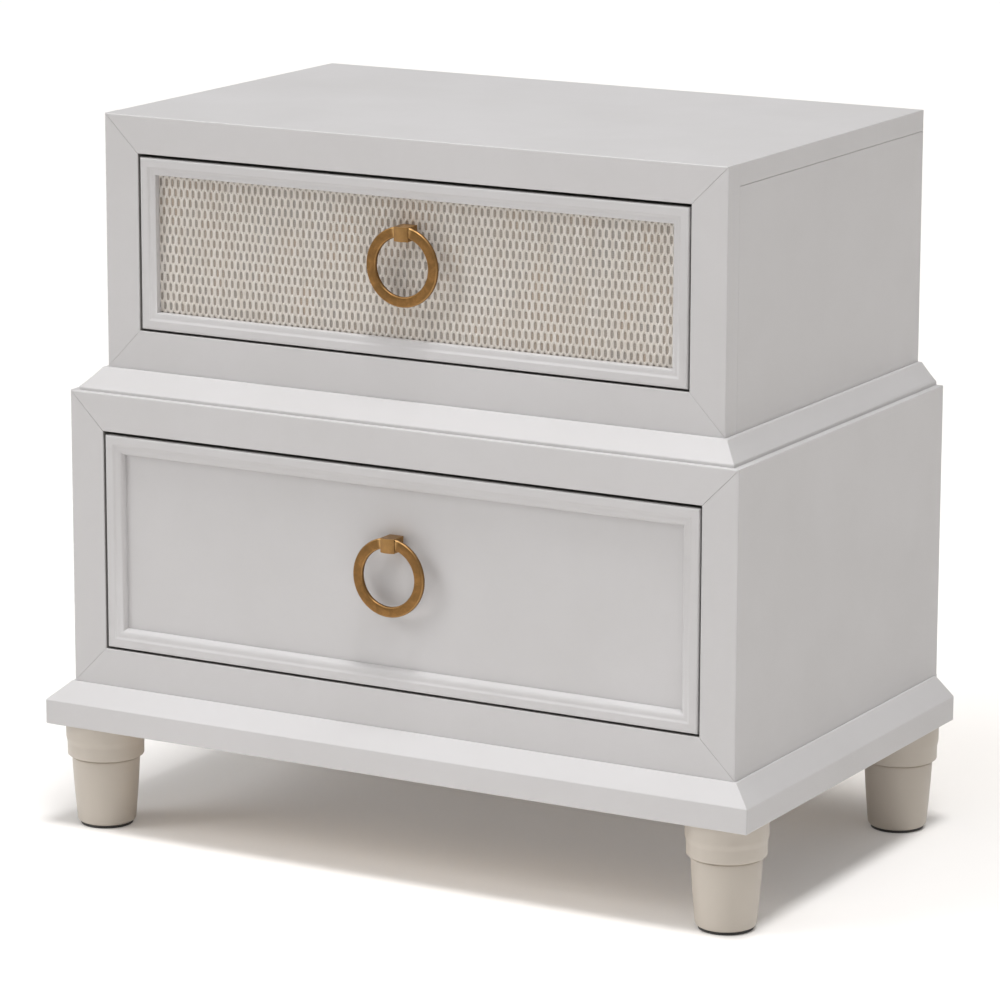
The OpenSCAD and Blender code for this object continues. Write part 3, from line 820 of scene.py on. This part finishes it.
# %% [markdown]
# ## Ring pulls
# The ring is a flat-sided band with rounded corners, bent into a circle and cut open where the
# post takes it. Its section is carried round the circle in code, and the two open ends are capped.
# Two short spigots enter the post's bore, and the ring swings on them.

# %% Bend the ring and cast the post
RING_STEPS = 120
RING_ROUND = 1.5 * MM
END_PLAY = 0.3 * MM
SPIGOT = 2.0 * MM
SPIGOT_IN = 4.5 * MM
SPIGOT_OUT = 1.0 * MM
POST_ROUND = 0.9 * MM


def ring_section(width, thick, radius):
    """Rounded rectangle: (out along the radius, along the ring's axis)."""
    points = []
    for cx, cy, start in ((1, 1, 0.0), (-1, 1, 90.0), (-1, -1, 180.0), (1, -1, 270.0)):
        centre = (cx * (width / 2.0 - radius), cy * (thick / 2.0 - radius))
        points += arc(centre, radius, start, start + 90.0, 4)
    return points


def tube_between(work, pivot, start, end, radius, steps=20):
    """A closed round bar along X through the pivot."""
    ends = []
    for x in (start, end):
        ring = []
        for k in range(steps):
            angle = 2.0 * math.pi * k / steps
            ring.append(work.verts.new((x, pivot[1] + radius * math.cos(angle),
                                        pivot[2] + radius * math.sin(angle))))
        ends.append(ring)
    for k in range(steps):
        after = (k + 1) % steps
        work.faces.new((ends[0][k], ends[0][after], ends[1][after], ends[1][k]))
    work.faces.new(ends[0])
    work.faces.new(ends[1])


def open_ring(work, centre, mean, section, gap):
    """The section carried round a circle in X and Z that is open at the top."""
    half = math.asin(gap / mean)
    rings = []
    for k in range(RING_STEPS + 1):
        angle = math.pi / 2.0 + half + (2.0 * math.pi - 2.0 * half) * k / RING_STEPS
        ring = []
        for out, along in section:
            reach = mean + out
            x = reach * math.cos(angle)
            z = reach * math.sin(angle)
            if k in (0, RING_STEPS):
                # an open end is cut upright, level with the gap
                x = math.copysign(gap, x)
                z = math.copysign((reach ** 2 - x ** 2) ** 0.5, z)
            ring.append(work.verts.new((centre[0] + x, centre[1] + along, centre[2] + z)))
        rings.append(ring)
    count = len(section)
    for one, two in zip(rings, rings[1:]):
        for k in range(count):
            after = (k + 1) % count
            work.faces.new((one[k], one[after], two[after], two[k]))
    work.faces.new(rings[0])
    work.faces.new(rings[-1])


for tier in ("lower", "upper"):
    node = tier + "_pull_ring"
    (x0, y0, z0), (x1, y1, z1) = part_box(node)
    joint = next(j for j in frame["joints"] if j["name"] == tier + "_ring_swing")
    pivot = joint["pos_m"]
    outer = (x1 - x0) / 2.0
    width = 2.0 * (outer - (pivot[2] - (z0 + outer)))
    post_half = high(tier + "_pull_post", "x")
    gap = post_half + END_PLAY
    centre = (pivot[0], pivot[1], z0 + outer)
    work = bmesh.new()
    open_ring(work, centre, outer - width / 2.0, ring_section(width, y1 - y0, RING_ROUND), gap)
    for side in (-1, 1):
        tube_between(work, pivot, side * (post_half - SPIGOT_IN), side * (gap + SPIGOT_OUT), SPIGOT)
    bmesh.ops.recalc_face_normals(work, faces=work.faces)
    piece = to_object(work, node, BRASS)
    belongs(smooth(piece, TURNED_CREASE), tier + "_ring", "antique_brass", node)
    post = eased(tier + "_pull_post", [(anywhere, POST_ROUND)], BRASS, segments=4)
    belongs(post, tier + "_drawer", "antique_brass", tier + "_pull_post")
    print(node, "outer radius", round(outer / MM, 1), "section", round(width / MM, 1), "mm wide")

# %% [markdown]
# ## The woven front
# Fine paper cord is woven so that taupe eyes show through in staggered rows. Upright cords pair
# with the left neighbour in one row and with the right neighbour in the next, and a level cord
# behind each change of pairs closes the eyes at both ends. One rule gives every upright cord its
# path: its side shift is a softened square wave of its height, and its direction flips from cord to
# cord. So the sheet is a job for Geometry Nodes: a line of points becomes a row of curves, each
# point of a curve is moved by the rule, and a small rounded profile is swept along.

# %% Build the cord tree
PITCH = 3.225 * MM
ROW = 8.93 * MM
CORD_W = 2.95 * MM
CORD_H = 0.80 * MM
SWAY = 1.16 * MM
WEFT_W = 2.10 * MM
WEFT_H = 0.70 * MM
SQUARENESS = 2.4
LATE = 0.035
CORD_DRIFT = 0.06 * MM
CORD_LIFT = -0.20 * MM
WEFT_BACK = 0.18 * MM
WEFT_WAVES = 61.0
WEFT_WANDER = 0.18 * MM
WEFT_POINTS = 60
POINT_STEP = 1.5 * MM
WEAVE_MARGIN = 0.9 * MM
CORD_BACK = 0.22 * MM


def socket(tree, name, kind, value, flow="INPUT"):
    made = tree.interface.new_socket(name=name, in_out=flow, socket_type=kind)
    if value is not None:
        made.default_value = value


def feed(tree, target, value):
    """Sets an input to a number, or joins a socket to it."""
    if isinstance(value, bpy.types.NodeSocket):
        tree.links.new(value, target)
    else:
        target.default_value = value


def maths(tree, operation, *values):
    node = tree.nodes.new("ShaderNodeMath")
    node.operation = operation
    for index, value in enumerate(values):
        feed(tree, node.inputs[index], value)
    return node.outputs[0]


def vector(tree, x=0.0, y=0.0, z=0.0):
    node = tree.nodes.new("ShaderNodeCombineXYZ")
    for index, value in enumerate((x, y, z)):
        feed(tree, node.inputs[index], value)
    return node.outputs[0]


def store(tree, geometry, name, value):
    node = tree.nodes.new("GeometryNodeStoreNamedAttribute")
    node.domain = "POINT"
    node.inputs["Name"].default_value = name
    tree.links.new(geometry, node.inputs["Geometry"])
    tree.links.new(value, node.inputs["Value"])
    return node.outputs[0]


def recall(tree, name):
    node = tree.nodes.new("GeometryNodeInputNamedAttribute")
    node.inputs["Name"].default_value = name
    return node.outputs["Attribute"]


def row_of_curves(tree, count, start, step, run, points, seed):
    """Curves that run from a row of points. Each point keeps its way (1 or -1) and its own chance."""
    line = tree.nodes.new("GeometryNodeMeshLine")
    line.mode = "OFFSET"
    feed(tree, line.inputs["Count"], count)
    feed(tree, line.inputs["Start Location"], start)
    feed(tree, line.inputs["Offset"], step)
    index = tree.nodes.new("GeometryNodeInputIndex").outputs[0]
    way = maths(tree, "MULTIPLY_ADD", maths(tree, "MODULO", index, 2.0), -2.0, 1.0)
    chance = tree.nodes.new("FunctionNodeRandomValue")
    chance.data_type = "FLOAT"
    least, most = [i for i in chance.inputs if i.enabled and i.name in ("Min", "Max")]
    least.default_value = -1.0
    most.default_value = 1.0
    feed(tree, chance.inputs["Seed"], seed)
    own = next(o for o in chance.outputs if o.enabled)
    marked = store(tree, store(tree, line.outputs["Mesh"], "way", way), "own", own)
    single = tree.nodes.new("GeometryNodeCurvePrimitiveLine")
    feed(tree, single.inputs["End"], run)
    sampled = tree.nodes.new("GeometryNodeResampleCurve")
    tree.links.new(single.outputs[0], sampled.inputs["Curve"])
    feed(tree, sampled.inputs["Count"], points)
    copies = tree.nodes.new("GeometryNodeInstanceOnPoints")
    tree.links.new(marked, copies.inputs["Points"])
    tree.links.new(sampled.outputs[0], copies.inputs["Instance"])
    real = tree.nodes.new("GeometryNodeRealizeInstances")
    tree.links.new(copies.outputs[0], real.inputs["Geometry"])
    return real.outputs[0]


def shifted(tree, geometry, offset):
    node = tree.nodes.new("GeometryNodeSetPosition")
    tree.links.new(geometry, node.inputs["Geometry"])
    tree.links.new(offset, node.inputs["Offset"])
    return node.outputs[0]


def swept(tree, curves, width, height, across):
    """A flattened six-sided profile carried along curves, its width kept along one direction."""
    profile = tree.nodes.new("GeometryNodeCurvePrimitiveCircle")
    profile.inputs["Resolution"].default_value = 6
    profile.inputs["Radius"].default_value = 0.5
    flat = tree.nodes.new("GeometryNodeTransform")
    tree.links.new(profile.outputs[0], flat.inputs["Geometry"])
    feed(tree, flat.inputs["Scale"], vector(tree, width, height, 1.0))
    steady = tree.nodes.new("GeometryNodeSetCurveNormal")
    steady.mode = "FREE"
    steady.inputs["Normal"].default_value = across
    tree.links.new(curves, steady.inputs["Curve"])
    mesh = tree.nodes.new("GeometryNodeCurveToMesh")
    mesh.inputs["Fill Caps"].default_value = True
    tree.links.new(steady.outputs[0], mesh.inputs["Curve"])
    tree.links.new(flat.outputs[0], mesh.inputs["Profile Curve"])
    return mesh.outputs[0]


def cord_tree():
    tree = bpy.data.node_groups.new("woven_cord", "GeometryNodeTree")
    socket(tree, "Geometry", "NodeSocketGeometry", None, "OUTPUT")
    for name, kind, value in (
            ("Cords", "NodeSocketInt", 10), ("Rows", "NodeSocketInt", 4),
            ("Points", "NodeSocketInt", 60), ("Seed", "NodeSocketInt", 7),
            ("Left", "NodeSocketFloat", 0.0), ("Bottom", "NodeSocketFloat", 0.0),
            ("Span", "NodeSocketFloat", 0.1), ("Height", "NodeSocketFloat", 0.1),
            ("Depth", "NodeSocketFloat", 0.0), ("Pitch", "NodeSocketFloat", PITCH),
            ("Row", "NodeSocketFloat", ROW), ("Sway", "NodeSocketFloat", SWAY)):
        socket(tree, name, kind, value)
    socket(tree, "Material", "NodeSocketMaterial", None)
    given = tree.nodes.new("NodeGroupInput").outputs

    # upright cords, swaying by the rule
    start = vector(tree, given["Left"], given["Depth"], given["Bottom"])
    uprights = row_of_curves(tree, given["Cords"], start, vector(tree, given["Pitch"]),
                             vector(tree, 0.0, 0.0, given["Height"]), given["Points"], given["Seed"])
    place = tree.nodes.new("ShaderNodeSeparateXYZ")
    tree.links.new(tree.nodes.new("GeometryNodeInputPosition").outputs[0], place.inputs[0])
    rows = maths(tree, "DIVIDE", maths(tree, "SUBTRACT", place.outputs["Z"], given["Bottom"]), given["Row"])
    late = maths(tree, "MULTIPLY", recall(tree, "own"), LATE)
    turn = maths(tree, "MULTIPLY", maths(tree, "ADD", rows, late), math.pi)
    soft = maths(tree, "TANH", maths(tree, "MULTIPLY", maths(tree, "SINE", turn), SQUARENESS))
    aside = maths(tree, "MULTIPLY", maths(tree, "MULTIPLY", soft, recall(tree, "way")), given["Sway"])
    drift = maths(tree, "MULTIPLY", recall(tree, "own"), CORD_DRIFT)
    lift = maths(tree, "MULTIPLY", maths(tree, "ABSOLUTE", maths(tree, "COSINE", turn)), CORD_LIFT)
    uprights = shifted(tree, uprights, vector(tree, maths(tree, "ADD", aside, drift), lift, 0.0))

    # level cords behind each change of pairs
    level_start = vector(tree, given["Left"], maths(tree, "ADD", given["Depth"], WEFT_BACK), given["Bottom"])
    levels = row_of_curves(tree, given["Rows"], level_start, vector(tree, 0.0, 0.0, given["Row"]),
                           vector(tree, given["Span"], 0.0, 0.0), WEFT_POINTS, given["Seed"])
    waves = maths(tree, "SINE", maths(tree, "MULTIPLY", place.outputs["X"], WEFT_WAVES))
    wander = maths(tree, "MULTIPLY", waves, maths(tree, "MULTIPLY", recall(tree, "own"), WEFT_WANDER))
    levels = shifted(tree, levels, vector(tree, 0.0, 0.0, wander))

    both = tree.nodes.new("GeometryNodeJoinGeometry")
    tree.links.new(swept(tree, uprights, CORD_W, CORD_H, (1.0, 0.0, 0.0)), both.inputs[0])
    tree.links.new(swept(tree, levels, WEFT_H, WEFT_W, (0.0, 1.0, 0.0)), both.inputs[0])
    shaded = tree.nodes.new("GeometryNodeSetShadeSmooth")
    tree.links.new(both.outputs[0], shaded.inputs["Geometry"])
    final = tree.nodes.new("GeometryNodeRealizeInstances")
    tree.links.new(shaded.outputs[0], final.inputs["Geometry"])
    painted = tree.nodes.new("GeometryNodeSetMaterial")
    tree.links.new(final.outputs[0], painted.inputs["Geometry"])
    tree.links.new(given["Material"], painted.inputs["Material"])
    out = tree.nodes.new("NodeGroupOutput")
    tree.links.new(painted.outputs[0], out.inputs[0])
    return tree


# %% Grow a tree's result into a plain mesh
def grown(name, tree, material, **values):
    """A plain mesh from a Geometry Nodes tree, its inputs set by their identifiers."""
    made = bpy.data.objects.new(name, bpy.data.meshes.new(name))
    bpy.context.scene.collection.objects.link(made)
    modifier = made.modifiers.new("grow", "NODES")
    modifier.node_group = tree
    for item in tree.interface.items_tree:
        if item.item_type == "SOCKET" and item.in_out == "INPUT":
            if item.name in values:
                modifier[item.identifier] = values[item.name]
            elif item.name == "Material":
                modifier[item.identifier] = material
    made.update_tag()
    bpy.context.view_layer.update()
    return settle(made)


(x0, y0, z0), (x1, y1, z1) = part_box("woven_sheet")
cords = int((x1 - x0) / PITCH) // 2 * 2
left = -(cords - 1) / 2.0 * PITCH
cloth_face = y0 + CORD_H * 0.95
woven = grown("woven_cord", cord_tree(), CORD, Cords=cords, Rows=int((z1 - z0) / ROW) + 1,
              Points=int((z1 - z0) / POINT_STEP), Left=left, Bottom=z0 + WEAVE_MARGIN, Span=-2.0 * left,
              Height=z1 - z0 - 2.0 * WEAVE_MARGIN, Depth=y0 + CORD_H * 0.5 + CORD_BACK)
belongs(woven, "upper_drawer", "raffia")
print("woven front:", cords, "cords,", len(woven.data.polygons), "faces, box",
      [[round(c, 4) for c in v] for v in (woven.bound_box[0], woven.bound_box[6])])

# %% [markdown]
# ## The cloth behind the cord
# The strands lie on a thin taupe cloth that is glued to the panel. It fills the rest of the packed
# sheet's thickness. A slight pillow between the strands would never be seen, so it is one flat
# slab with its weave in the finish.

# %% Make the cloth
def slab(name, lowest, highest, material):
    work = bmesh.new()
    bmesh.ops.create_cube(work, size=1.0)
    for vert in work.verts:
        for axis in range(3):
            vert.co[axis] = highest[axis] if vert.co[axis] > 0 else lowest[axis]
    bmesh.ops.recalc_face_normals(work, faces=work.faces)
    return to_object(work, name, material)


cloth = slab("taupe_cloth", (x0, cloth_face, z0), (x1, y1, z1), CLOTH)
belongs(cloth, "upper_drawer", "raffia", "woven_sheet")

# %% [markdown]
# ## Slides, bolts and glides
# The metal slides keep their packed channels, with a thin rounded edge, in zinc plate. Bolts and
# screws are hidden but take the same finish. The glides under the feet are dark nylon.

# %% Finish the hardware
RAIL_ARRIS = 0.25 * MM
SCREW_ARRIS = 0.3 * MM
BOLT_ARRIS = 0.4 * MM
GLIDE_ARRIS = 0.5 * MM


for tier in ("lower", "upper"):
    for member, body in (("case", "case"), ("middle", tier + "_middle_slides"), ("drawer", tier + "_drawer")):
        eased_part(tier + "_" + member + "_rails", body, "zinc_steel", ZINC, RAIL_ARRIS)
    eased_part(tier + "_pull_screw", tier + "_drawer", "zinc_steel", ZINC, SCREW_ARRIS)
eased_part("hanger_bolts", "case", "zinc_steel", ZINC, BOLT_ARRIS)
eased_part("foot_glides", "case", "nylon", NYLON, GLIDE_ARRIS)

# %% [markdown]
# ## Floor and light
# A pale floor and soft light suit a white piece. The floor is nearly white and glows a little, so
# that it reads as a clean sweep and still takes the soft shadow under the base. Four suns of
# different widths do the shaping: a narrow one overhead that reaches the slopes of the mouldings, a
# wide one overhead, a key from the front left and a very weak warm one low on the right. One area
# light above adds a little to the top board.

# %% Lay the floor
FLOOR_HALF = 30.0
FLOOR_THICK = 0.02
floor_finish, floor_shader = finish("studio_floor", 0.9)
floor_tone = cloudy(floor_finish, placed(floor_finish), 0.6, detail=2.0)
join(floor_finish, ramp(floor_finish, floor_tone, (0.3, (0.876, 0.858, 0.842)), (0.7, (0.894, 0.876, 0.860))),
     floor_shader.inputs["Base Color"])
floor_shader.inputs["Specular IOR Level"].default_value = 0.0
floor_shader.inputs["Emission Color"].default_value = (1.0, 1.0, 1.0, 1.0)
floor_shader.inputs["Emission Strength"].default_value = 0.09
floor = slab("studio_floor", (-FLOOR_HALF, -FLOOR_HALF, FLOOR - FLOOR_THICK), (FLOOR_HALF, FLOOR_HALF, FLOOR),
             floor_finish)

# %% Hang the lights
def soft_sun(name, toward, strength, spread_degrees, colour):
    """A sun as wide as the angle given, which sets how soft its shadows are."""
    data = bpy.data.lights.new(name, "SUN")
    data.energy = strength
    data.angle = math.radians(spread_degrees)
    data.color = colour
    lamp = bpy.data.objects.new(name, data)
    lamp.location = Vector(toward) * 3.0
    lamp.rotation_euler = Vector(toward).to_track_quat("Z", "Y").to_euler()
    bpy.context.scene.collection.objects.link(lamp)


def area_light(name, place, aim, width, height, watts, colour):
    data = bpy.data.lights.new(name, "AREA")
    data.shape = "RECTANGLE"
    data.size = width
    data.size_y = height
    data.energy = watts
    data.color = colour
    lamp = bpy.data.objects.new(name, data)
    lamp.location = place
    lamp.rotation_euler = (Vector(aim) - Vector(place)).to_track_quat("-Z", "Y").to_euler()
    bpy.context.scene.collection.objects.link(lamp)


soft_sun("overhead", (0.14, -0.12, 1.0), 1.86, 14.0, (1.0, 1.0, 1.0))
soft_sun("overhead_front", (0.15, -0.25, 1.0), 0.70, 70.0, (1.0, 1.0, 1.0))
soft_sun("key_left", (-0.62, -0.52, 0.54), 1.02, 30.0, (1.0, 1.0, 1.0))
soft_sun("warm_right", (0.90, -0.25, 0.22), 0.06, 60.0, (1.0, 0.80, 0.58))
area_light("near_top", (0.0, -0.3, 2.0), (0.0, 0.0, 0.3), 1.4, 1.2, 6.0, (1.0, 1.0, 1.0))

world = bpy.data.worlds.new("studio")
bpy.context.scene.world = world
world.use_nodes = True
world.node_tree.nodes["Background"].inputs["Color"].default_value = (1.0, 0.96, 0.90, 1.0)
world.node_tree.nodes["Background"].inputs["Strength"].default_value = 0.12
bpy.context.scene.view_settings.view_transform = "Standard"
bpy.context.scene.view_settings.look = "None"
